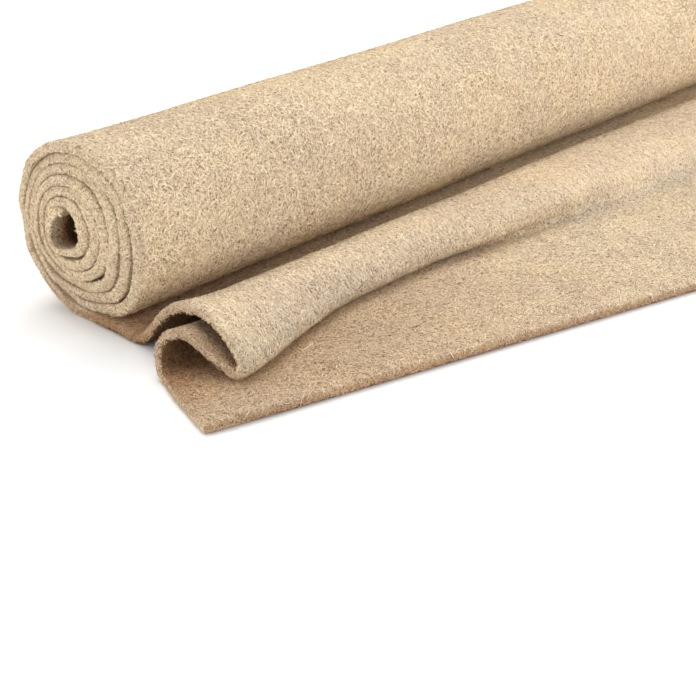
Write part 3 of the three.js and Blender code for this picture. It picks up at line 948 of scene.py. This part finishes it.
def felt_group():
    """The matted wool as a node group. Lines are where stretched noise passes its middle
    value, in several directions. It puts out a tone, 0.5 for plain wool, a slow patch
    value and a height."""
    name = "matted_wool"
    if name in bpy.data.node_groups:
        return bpy.data.node_groups[name]
    group = bpy.data.node_groups.new(name, "ShaderNodeTree")
    group_socket(group, "Strand size", "INPUT", "NodeSocketFloat", LINE_SIZE)
    group_socket(group, "Strand width", "INPUT", "NodeSocketFloat", LINE_WIDTH)
    group_socket(group, "Tone", "OUTPUT", "NodeSocketFloat")
    group_socket(group, "Patch", "OUTPUT", "NodeSocketFloat")
    group_socket(group, "Height", "OUTPUT", "NodeSocketFloat")
    nodes, links = group.nodes, group.links
    given, result = nodes.new("NodeGroupInput"), nodes.new("NodeGroupOutput")
    where = nodes.new("ShaderNodeTexCoord")

    def maths(operation, first, second=None, third=None, clamp=False):
        node = nodes.new("ShaderNodeMath")
        node.operation, node.use_clamp = operation, clamp
        for socket, value in zip(node.inputs, (first, second, third)):
            if value is None:
                continue
            if isinstance(value, (int, float)):
                socket.default_value = value
            else:
                links.new(value, socket)
        return node.outputs[0]

    def noise(vector, scale, detail, distortion=0.0):
        node = nodes.new("ShaderNodeTexNoise")
        links.new(vector, node.inputs["Vector"])
        if isinstance(scale, (int, float)):
            node.inputs["Scale"].default_value = scale
        else:
            links.new(scale, node.inputs["Scale"])
        node.inputs["Detail"].default_value = detail
        node.inputs["Distortion"].default_value = distortion
        return node.outputs["Fac"]

    lines = None
    for turned, shifted in LINE_WAYS:
        mapping = nodes.new("ShaderNodeMapping")
        mapping.vector_type = "TEXTURE"
        mapping.inputs["Location"].default_value = shifted
        mapping.inputs["Rotation"].default_value = turned
        mapping.inputs["Scale"].default_value = (LINE_STRETCH, 1.0, 1.0)
        links.new(where.outputs["Object"], mapping.inputs["Vector"])
        size = given.outputs["Strand size"]
        value = noise(mapping.outputs["Vector"], size, 1.0, LINE_DISTORTION)
        off = maths("ABSOLUTE", maths("SUBTRACT", value, 0.5))
        share = maths("DIVIDE", off, given.outputs["Strand width"])
        line = maths("SUBTRACT", 1.0, share, clamp=True)
        if lines is None:
            lines = line
        else:
            lines = maths("MAXIMUM", maths("MULTIPLY", lines, LINE_DIMS), line)

    speck = noise(where.outputs["Object"], *SPECKS)
    tone = maths("MULTIPLY_ADD", lines, LINE_TONE, BASE_TONE)
    tone = maths("MULTIPLY_ADD", maths("SUBTRACT", speck, 0.5), SPECK_TONE, tone)
    cloud = maths("SUBTRACT", noise(where.outputs["Object"], *CLOUDS), 0.5)
    tone = maths("MULTIPLY_ADD", cloud, CLOUD_TONE, tone, clamp=True)
    height = maths("MULTIPLY_ADD", speck, SPECK_HIGH, maths("MULTIPLY", lines, LINE_HIGH))
    links.new(tone, result.inputs["Tone"])
    links.new(noise(where.outputs["Object"], *PATCHES), result.inputs["Patch"])
    links.new(height, result.inputs["Height"])
    return group


# What the wool's colour is multiplied by, from low nap values to where the felt is brushed.
# Values under 0.5, darker and browner, are mostly painted shade: in the valley by the roll,
# the fold's pocket and hollow, the hole and the roll's foot. The greyer dip at 0.68 is
# partly brushed nap and partly painted shade on the ridge's front face.
NAP_AND_SHADE_TINTS = [
    {"nap": 0.0, "tint": (0.15, 0.11, 0.07)},
    {"nap": 0.06, "tint": (0.33, 0.24, 0.16)},
    {"nap": 0.12, "tint": (0.57, 0.41, 0.31)},
    {"nap": 0.25, "tint": (0.745, 0.665, 0.62)},
    {"nap": 0.5, "tint": (1.0, 1.0, 1.0)},
    {"nap": 0.68, "tint": (0.80, 0.82, 0.87)},
    {"nap": 1.0, "tint": (1.12, 1.13, 1.16)},
]

# The same in the greyer and the yellower patches.
PATCH_TINTS = [
    {"patch": 0.36, "tint": (0.965, 0.958, 0.965)},
    {"patch": 0.64, "tint": (1.04, 1.03, 0.985)},
]

# The felt's and its fibres' roughness and gloss, and how high the felt's pattern stands.
FELT_ROUGH, FELT_GLOSS = 0.95, 0.15
FIBRE_ROUGH, FIBRE_GLOSS = 0.85, 0.2
PATTERN_HIGH = 0.0006


def colour_ramp(tree, factor, stops):
    """A colour that goes straight from stop to stop, each a place and a colour."""
    ramp = tree.nodes.new("ShaderNodeValToRGB")
    tree.links.new(factor, ramp.inputs["Fac"])
    elements = ramp.color_ramp.elements
    elements.remove(elements[1])
    elements[0].position = stops[0][0]
    for place, _ in stops[1:]:
        elements.new(place)
    for element, (_, colour) in zip(elements, stops):
        element.color = (*colour, 1)
    return ramp.outputs["Color"]


def wool_colours(tree, tone, patch, look):
    """Base colour for a tone: dark flecks, plain wool and light strands, with slight
    yellow and grey patches, painted darker and browner where the nap value is low, as
    painted shade, and paler where brushed."""
    nap = tree.nodes.new("ShaderNodeAttribute")
    nap.attribute_name = "nap"
    wools = [(0.0, look.dark_wool), (0.5, look.wool), (1.0, look.light_wool)]
    colour = colour_ramp(tree, tone, wools)
    patches = colour_ramp(tree, patch, [(row["patch"], row["tint"]) for row in PATCH_TINTS])
    naps_and_shades = [(row["nap"], row["tint"]) for row in NAP_AND_SHADE_TINTS]
    for factor in (patches, colour_ramp(tree, nap.outputs["Fac"], naps_and_shades)):
        product = tree.nodes.new("ShaderNodeVectorMath")
        product.operation = "MULTIPLY"
        tree.links.new(colour, product.inputs[0])
        tree.links.new(factor, product.inputs[1])
        colour = product.outputs["Vector"]
    return colour


def felt_material(look):
    """The felt's own faces: matted strands in tone, patches and bump."""
    material = bpy.data.materials.new("felt_wool")
    material.use_nodes = True
    tree = material.node_tree
    shader = tree.nodes["Principled BSDF"]
    shader.inputs["Roughness"].default_value = FELT_ROUGH
    shader.inputs["Specular IOR Level"].default_value = FELT_GLOSS
    wool = tree.nodes.new("ShaderNodeGroup")
    wool.node_tree = felt_group()
    colour = wool_colours(tree, wool.outputs["Tone"], wool.outputs["Patch"], look)
    tree.links.new(colour, shader.inputs["Base Color"])
    bump = tree.nodes.new("ShaderNodeBump")
    bump.inputs["Distance"].default_value = PATTERN_HIGH
    bump.inputs["Strength"].default_value = 1.0
    tree.links.new(wool.outputs["Height"], bump.inputs["Height"])
    tree.links.new(bump.outputs["Normal"], shader.inputs["Normal"])
    return material


def fibre_material(look):
    """The fibres: each has its own tone, with the felt's patches."""
    name = "wool_fibre"
    if name in bpy.data.materials:
        return bpy.data.materials[name]
    material = bpy.data.materials.new(name)
    material.use_nodes = True
    tree = material.node_tree
    shader = tree.nodes["Principled BSDF"]
    shader.inputs["Roughness"].default_value = FIBRE_ROUGH
    shader.inputs["Specular IOR Level"].default_value = FIBRE_GLOSS
    own = tree.nodes.new("ShaderNodeAttribute")
    own.attribute_name = "tone"
    wool = tree.nodes.new("ShaderNodeGroup")
    wool.node_tree = felt_group()
    colour = wool_colours(tree, own.outputs["Fac"], wool.outputs["Patch"], look)
    tree.links.new(colour, shader.inputs["Base Color"])
    return material


def plain_material(name, colour):
    """A matt stage colour."""
    material = bpy.data.materials.new(name)
    material.use_nodes = True
    shader = material.node_tree.nodes["Principled BSDF"]
    shader.inputs["Base Color"].default_value = (*colour, 1)
    shader.inputs["Roughness"].default_value = 1.0
    shader.inputs["Specular IOR Level"].default_value = 0.0
    return material


class ROLL_OT_felt(Operator):
    """Make the felt: one closed sheet, wound and folded"""

    bl_idname = "roll_of_felt.felt"
    bl_label = "Felt"

    def execute(self, context):
        sizes, look = context.scene.felt_sizes, context.scene.felt_look
        middle, facing, half, slant, length, turns = felt_surface(sizes)
        points, faces, _, _ = closed_sheet(middle, facing, half, slant)
        if volume(points, faces) < 0:
            faces = faces[:, ::-1]
        piece = new_mesh("felt_sheet", to_frame(points, sizes), faces)
        rows, columns = half.shape
        upper, lower, edge = nap_and_shade_of(sizes.width, turns, columns)
        deep = np.minimum(stations(sizes.width), stations(sizes.width)[::-1])[:, None]
        # Painted shade: the loose end's lower face is painted darker deeper under the fold.
        loose = lower[:, turns:]
        lower[:, turns:] = loose * mix(1, UNDER_DEEP, soft((deep - UNDER_SEEN) / UNDER_DARKENS))
        # Painted shade: the wall of the hole is painted darker inwards.
        in_hole = length < HOLE_LENGTH
        upper = np.where(in_hole, mix(ROLL_NAP, 0, soft(deep / HOLE_DARKENS)), upper)
        rim = edge.ravel()[edge_loop(rows, columns)]
        set_value(piece, "nap", np.concatenate([lower.ravel(), upper.ravel(), rim]))
        piece.data.materials.append(felt_material(look))
        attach(piece, "root")
        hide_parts("felt")
        context.scene["cut_length"] = round(float(length[:, -1].mean()), 2)
        return {"FINISHED"}


# How dense the fibres are at the near end and at the far end, and on the roll's back at
# its top and at its foot.
ALONG_DENSE, DOWN_DENSE = (1.25, 0.75), (1.6, 0.4)

# The front's and the back's share of the roll's fibres, and the near and the far cut end's
# share of the edges'. The loose end's near piece has this share of its rows.
FRONT_SHARE, BACK_SHARE = 0.52, 0.48
NEAR_END_SHARE, FAR_END_SHARE = 0.65, 0.35
NEAR_ROWS = 0.45

# The steps from the start of the roll's outer face to its top, and to where its raised
# fibres end.
TOP_STEPS, RAISED_STEPS = STEPS_PER_TURN // 2 + 5, STEPS_PER_TURN // 6

# The fibres underneath thin out over this distance from the near end, to this density.
UNDER_SHOWS, UNDER_LEAST = 0.04, 0.06

# How long the fibres on the cut ends and on the front edge are beside the others, and what
# share of them, and of the fibres at the foot, has a raised tip.
END_FIBRES = {"shorter": 0.6, "raise_share": 0.06}
FRONT_EDGE_FIBRES = {"shorter": 0.5, "raise_share": 0.04}
FOOT_FIBRES = {"raise_share": 0.5}


def even(grid):
    """The same weight for each cell of a grid."""
    return np.ones((grid.shape[0] - 1, grid.shape[1] - 1))


def nearer(grid):
    """A weight for each cell of a grid that falls evenly from the near end to the far."""
    return even(grid) * np.linspace(*ALONG_DENSE, grid.shape[0] - 1)[:, None]


def edge_grid(outer, middle, inward, inner, axis):
    """Three lines over a cut edge as a grid: the outer face's, the middle one where the
    edge bulges out, away from the points inward of it, and the inner face's."""
    away = middle - inward
    away = away / np.linalg.norm(away, axis=1, keepdims=True)
    return np.stack([outer, middle + away * EDGE_BULGE, inner], axis=axis)


def lay_fibres(rng, name, grid, weight, nap, count, outwards, look, **how):
    """One piece of matted fibres, scattered over a grid by weight."""
    place, facing, along, own_nap_and_shade = scatter(rng, grid, weight, nap, count, outwards)
    tones = fibre_tones(rng, count, look)
    calm = 1 - BRUSHED_CALM * np.clip(2 * own_nap_and_shade - 1, 0, 1)
    tones = 0.5 + (tones - 0.5) * calm
    points = matted(rng, place, facing, along, own_nap_and_shade, tones, look, **how)
    bent = tones > BENT_ABOVE
    straight = (points[~bent, :4], FIBRE_FACES, tones[~bent], own_nap_and_shade[~bent])
    groups = [straight, (points[bent], BENT_FACES, tones[bent], own_nap_and_shade[bent])]
    fibre_object(name, groups, fibre_material(look))


def lay_hairs(rng, upper, seam, sizes, look):
    """The long hairs on the roll's outer and the loose end's upper face, one grid with a
    seam out of sight under the roll: pale ones at random, more of them near the cut end,
    and the single hairs, each moved to the nearest cell and turned into it."""
    weight = even(upper)
    weight[:, seam] = 0
    weight[:HAIRY_ROWS] = 2
    count = look.hairs
    place, facing, along, _ = scatter(rng, upper, weight, ROLL_NAP, count, -1)
    angle = rng.uniform(0, 2 * np.pi, (count, 1))
    way = along * np.cos(angle) + np.cross(facing, along) * np.sin(angle)
    length = look.hair_length * np.exp(rng.normal(0, HAIR_LENGTHS, count))
    width = rng.uniform(*HAIR_WIDTHS, count)
    bend, lift = rng.normal(0, HAIR_BENDS, count), rng.uniform(*HAIR_LIFTS, count)
    tone = rng.uniform(*HAIR_TONES, count)

    own = {key: np.array([hair[key] for hair in SINGLE_HAIRS], float) for key in HAIR_COLUMNS}
    middles = to_frame(own["middle"], sizes)
    (corner, _, _, _, normal), _ = grid_cells(upper)
    nearest = [np.linalg.norm(corner - middle, axis=1).argmin() for middle in middles]
    own_facing = -normal[nearest]
    gap = ((middles - corner[nearest]) * own_facing).sum(axis=1, keepdims=True)
    own_way = own["way"]
    own_way = own_way - own_facing * (own_way * own_facing).sum(axis=1, keepdims=True)
    own_way = own_way / np.linalg.norm(own_way, axis=1, keepdims=True)

    points = hair_points(
        np.concatenate([place, middles - own_facing * gap]),
        np.concatenate([facing, own_facing]),
        np.concatenate([way, own_way]),
        np.append(length, own["length"]),
        np.append(width, own["width"]),
        np.append(bend, own["bend"]),
        np.append(lift, own["lift"]),
    )
    tones = np.append(tone, own["tone"])
    groups = [(points, hair_faces(), tones, np.full(len(tones), ROLL_NAP))]
    fibre_object("fibres_long", groups, fibre_material(look))


class ROLL_OT_fibres(Operator):
    """Lay the matted fibres over the felt's faces and cut edges"""

    bl_idname = "roll_of_felt.fibres"
    bl_label = "Matted fibres"

    def execute(self, context):
        sizes, look = context.scene.felt_sizes, context.scene.felt_look
        middle, facing, half, slant, _, turns = felt_surface(sizes)
        _, _, outer, inner = closed_sheet(middle, facing, half, slant)
        outer, inner = to_frame(outer, sizes), to_frame(inner, sizes)
        middle = to_frame(middle, sizes)
        rows, columns = half.shape
        # The fibres take on the felt's nap values, and with them its painted shade.
        naps_and_shades = nap_and_shade_of(sizes.width, turns, columns)
        upper_nap_and_shade, lower_nap_and_shade, edge_nap_and_shade = (face[:-1, :-1] for face in naps_and_shades)
        rng = np.random.default_rng(sizes.seed + 1)

        def lay(name, grid, weight, nap, count, outwards, **how):
            lay_fibres(rng, name, grid, weight, nap, count, outwards, look, **how)

        # The roll's outer face goes on as the loose end's lower face.
        first = turns - STEPS_PER_TURN - EXTRA_STEPS
        skin = outer[:, first:turns]
        front, back = skin[:, :TOP_STEPS], skin[:, TOP_STEPS - 1 :]
        front_nap_and_shade = lower_nap_and_shade[:, first : first + TOP_STEPS - 1]
        foot = front[:, 1:RAISED_STEPS]
        count = look.foot_fibres
        lay("fibres_roll_foot", foot, nearer(foot), FUZZ_NAP, count, 1, **FOOT_FIBRES)
        count = round(look.roll_fibres * FRONT_SHARE)
        lay("fibres_roll_front", front, nearer(front), front_nap_and_shade, count, 1)
        count = round(look.roll_fibres * BACK_SHARE)
        down = np.linspace(*DOWN_DENSE, back.shape[1] - 1)
        lay("fibres_roll_back", back, nearer(back) * down, ROLL_NAP, count, 1)

        loose, loose_nap_and_shade = inner[:, turns + 1 :], upper_nap_and_shade[:, turns + 1 :]
        half_way = int(rows * NEAR_ROWS)
        near, far = loose[: half_way + 1], loose[half_way:]
        count = look.loose_fibres // 2
        lay("fibres_loose_near", near, nearer(near), loose_nap_and_shade[:half_way], count, -1)
        lay("fibres_loose_far", far, nearer(far), loose_nap_and_shade[half_way:], count, -1)

        # Underneath, fibres lie only where the felt is clear of the surface.
        under = outer[:, turns:]
        clear = under[:-1, :-1, 2] > sizes.thick / 2
        from_near = under[:-1, :-1, 0] - under[0, 0, 0]
        weight = clear * (np.exp(-from_near / UNDER_SHOWS) + UNDER_LEAST)
        lay("fibres_under", under, weight, lower_nap_and_shade[:, turns:], look.under_fibres, 1)

        ends = (("near", 0, 1, -1, NEAR_END_SHARE), ("far", -1, -2, 1, FAR_END_SHARE))
        for end, row, inward, outwards, share in ends:
            grid = edge_grid(outer[row], middle[row], middle[inward], inner[row], axis=0)
            name, count = f"fibres_end_{end}", int(look.edge_fibres * share)
            lay(name, grid, even(grid), edge_nap_and_shade[:2], count, outwards, **END_FIBRES)
        grid = edge_grid(outer[:, -1], middle[:, -1], middle[:, -2], inner[:, -1], axis=1)
        name, count = "fibres_front_edge", look.edge_fibres // 4
        lay(name, grid, even(grid), FRONT_EDGE_NAP, count, 1, **FRONT_EDGE_FIBRES)

        upper = np.concatenate([skin[:, ::-1], loose], axis=1)
        lay_hairs(rng, upper, skin.shape[1] - 1, sizes, look)
        return {"FINISHED"}


# The lamps: the setting that has a lamp's power, its size, its place and its aim.
LAMPS = {
    "overhead": ("overhead", 1.2, (0.2, 0.6, 1.4), (0.0, -0.05, 0.0)),
    "far_front": ("front", 0.7, (0.75, -0.85, 0.26), (0.1, 0.0, 0.03)),
    "near_front": ("near", 0.7, (-1.4, -0.5, 0.6), (-0.2, 0.0, 0.03)),
    "near_back": ("back", 0.9, (-1.2, 1.2, 0.65), (-0.1, 0.0, 0.03)),
}
FLOOR_SIDE = 6.0

# The camera looks at the near end from its left, from above: its direction in degrees, its
# place from the foot of the near rim, and its lens in millimetres.
CAMERA_AZIMUTH, CAMERA_ELEVATION = -49.55, 24.29
CAMERA_PLACE = (-0.4303, -0.5116, 0.2829)
CAMERA_LENS, SENSOR_WIDTH = 88.38, 36.0


class ROLL_OT_studio(Operator):
    """Set the plain floor, the soft lights and the camera"""

    bl_idname = "roll_of_felt.studio"
    bl_label = "Stage, lights and camera"

    def execute(self, context):
        scene, studio = context.scene, context.scene.felt_studio
        sizes = scene.felt_sizes
        near_rim = Vector(to_frame(np.zeros(3), sizes))

        corners = np.array([(-1, -1), (1, -1), (1, 1), (-1, 1)]) * FLOOR_SIDE / 2
        points = np.column_stack([corners, np.full(4, near_rim.z - 2 * CREVICE)])
        floor = new_mesh("floor", points, np.array([[0, 1, 2, 3]]), smooth=False)
        floor.data.materials.append(plain_material("pale_floor", studio.floor_colour))

        world = bpy.data.worlds.new("even_sky")
        world.use_nodes = True
        sky = world.node_tree.nodes["Background"]
        sky.inputs["Color"].default_value = (1, 1, 1, 1)
        sky.inputs["Strength"].default_value = studio.sky
        scene.world = world

        for name, (setting, size, place, aim) in LAMPS.items():
            data = bpy.data.lights.new(name, "AREA")
            data.energy, data.size = getattr(studio, setting), size
            lamp = bpy.data.objects.new(name, data)
            scene.collection.objects.link(lamp)
            way = Vector(aim) - Vector(place)
            turn = way.to_track_quat("-Z", "Y").to_matrix().to_4x4()
            lamp.matrix_world = Matrix.Translation(Vector(place)) @ turn

        scene.view_settings.view_transform = "Standard"

        azimuth, elevation = np.radians(CAMERA_AZIMUTH), np.radians(CAMERA_ELEVATION)
        back = Vector((
            np.sin(azimuth) * np.cos(elevation),
            -np.cos(azimuth) * np.cos(elevation),
            np.sin(elevation),
        ))
        data = bpy.data.cameras.new("camera")
        data.lens, data.sensor_width = CAMERA_LENS, SENSOR_WIDTH
        data.clip_start, data.clip_end = 0.01, 20.0
        camera = bpy.data.objects.new("camera", data)
        scene.collection.objects.link(camera)
        turn = (-back).to_track_quat("-Z", "Y").to_matrix().to_4x4()
        camera.matrix_world = Matrix.Translation(near_rim + Vector(CAMERA_PLACE)) @ turn
        scene.camera = camera
        return {"FINISHED"}


class ROLL_PT_panel(Panel):
    """Lists the pieces of the roll of felt"""

    bl_label = "Roll of Felt"
    bl_idname = "ROLL_PT_panel"
    bl_space_type = "VIEW_3D"
    bl_region_type = "UI"
    bl_category = "Roll of Felt"

    def draw(self, context):
        scene = context.scene
        for settings in (scene.felt_sizes, scene.felt_look, scene.felt_studio):
            for name in type(settings).__annotations__:
                self.layout.prop(settings, name)
        for operator in OPERATORS:
            self.layout.operator(operator.bl_idname)


SETTINGS = (FeltSizes, FeltLook, FeltStudio)
OPERATORS = (ROLL_OT_felt, ROLL_OT_fibres, ROLL_OT_studio)


def register():
    for kind in (*SETTINGS, *OPERATORS, ROLL_PT_panel):
        bpy.utils.register_class(kind)
    bpy.types.Scene.felt_sizes = PointerProperty(type=FeltSizes)
    bpy.types.Scene.felt_look = PointerProperty(type=FeltLook)
    bpy.types.Scene.felt_studio = PointerProperty(type=FeltStudio)


def unregister():
    del bpy.types.Scene.felt_sizes, bpy.types.Scene.felt_look, bpy.types.Scene.felt_studio
    for kind in (ROLL_PT_panel, *reversed(OPERATORS), *reversed(SETTINGS)):
        bpy.utils.unregister_class(kind)


def main():
    """Makes the whole object and its stage."""
    register()
    bpy.ops.roll_of_felt.felt()
    bpy.ops.roll_of_felt.fibres()
    bpy.ops.roll_of_felt.studio()


if __name__ == "__main__":
    main()
